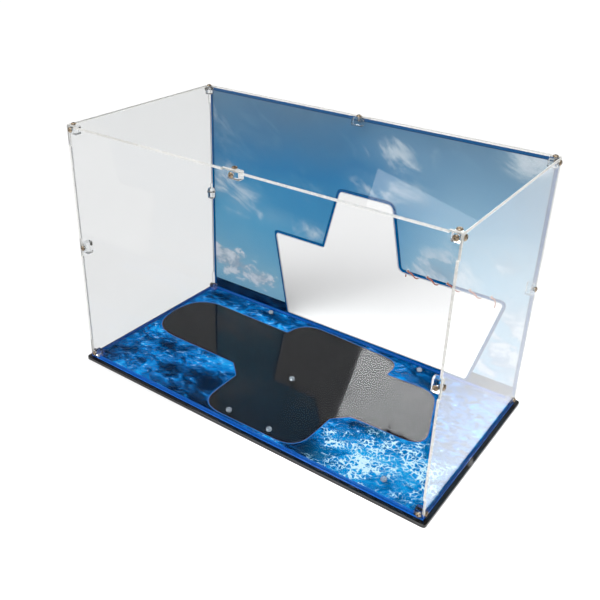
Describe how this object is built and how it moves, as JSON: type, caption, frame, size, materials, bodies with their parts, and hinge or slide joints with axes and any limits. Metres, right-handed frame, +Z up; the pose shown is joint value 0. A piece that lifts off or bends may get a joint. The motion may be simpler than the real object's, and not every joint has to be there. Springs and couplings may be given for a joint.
{
  "type": "display case",
  "caption": "Clear box of interlocking sheets, screwed to corner blocks, that lifts off a gloss black base; printed sky back with a boat-shaped cut-out and a printed sea floor.",
  "frame": {"origin": "centre of the bounding box's underside, on the surface that the base stands on", "axes": "+X along the case's width to its right-hand side, +Y from the open front view to the printed back, +Z up"},
  "size_m": [0.58, 0.302, 0.3754],
  "materials": {
    "base": "polished black",
    "printed_sea": "clear sheet printed with a sea surface",
    "stud": "pale translucent",
    "clear_sheet": "clear, polished edges",
    "printed_sky": "clear sheet printed with a cloudy sky",
    "clear_block": "clear, polished",
    "screw": "nickel plated",
    "cord": "twisted, matt"
  },
  "bodies": {
    "base": {"base_plate": "base", "sea_plate": "printed_sea", "stud_front_left": "stud", "stud_front_middle": "stud", "stud_front_right": "stud", "stud_centre": "stud", "stud_rear_left": "stud", "stud_rear_right": "stud"},
    "cover": {"front_panel": "clear_sheet", "back_panel": "printed_sky", "left_panel": "clear_sheet", "right_panel": "clear_sheet", "top_panel": "clear_sheet", "block_bottom_front_left": "clear_block", "block_middle_front_left": "clear_block", "block_top_front_left": "clear_block", "block_bottom_front_right": "clear_block", "block_middle_front_right": "clear_block", "block_top_front_right": "clear_block", "block_top_front_middle": "clear_block", "block_bottom_back_left": "clear_block", "block_middle_back_left": "clear_block", "block_top_back_left": "clear_block", "block_bottom_back_right": "clear_block", "block_middle_back_right": "clear_block", "block_top_back_right": "clear_block", "block_top_back_middle": "clear_block", "screw_bottom_front_left_front": "screw", "screw_bottom_front_left_left": "screw", "screw_middle_front_left_front": "screw", "screw_middle_front_left_left": "screw", "screw_top_front_left_front": "screw", "screw_top_front_left_left": "screw", "screw_top_front_left_top": "screw", "screw_bottom_front_right_front": "screw", "screw_bottom_front_right_right": "screw", "screw_middle_front_right_front": "screw", "screw_middle_front_right_right": "screw", "screw_top_front_right_front": "screw", "screw_top_front_right_right": "screw", "screw_top_front_right_top": "screw", "screw_top_front_middle_front": "screw", "screw_top_front_middle_top": "screw", "screw_bottom_back_left_back": "screw", "screw_bottom_back_left_left": "screw", "screw_middle_back_left_back": "screw", "screw_middle_back_left_left": "screw", "screw_top_back_left_back": "screw", "screw_top_back_left_left": "screw", "screw_top_back_left_top": "screw", "screw_bottom_back_right_back": "screw", "screw_bottom_back_right_right": "screw", "screw_middle_back_right_back": "screw", "screw_middle_back_right_right": "screw", "screw_top_back_right_back": "screw", "screw_top_back_right_right": "screw", "screw_top_back_right_top": "screw", "screw_top_back_middle_back": "screw", "screw_top_back_middle_top": "screw", "lacing_cord": "cord"}
  },
  "joints": [
    {"name": "cover_lift", "type": "slide", "parent": "base", "child": "cover", "axis": [0, 0, 1], "range_m": [0, 0.38]}
  ]
}
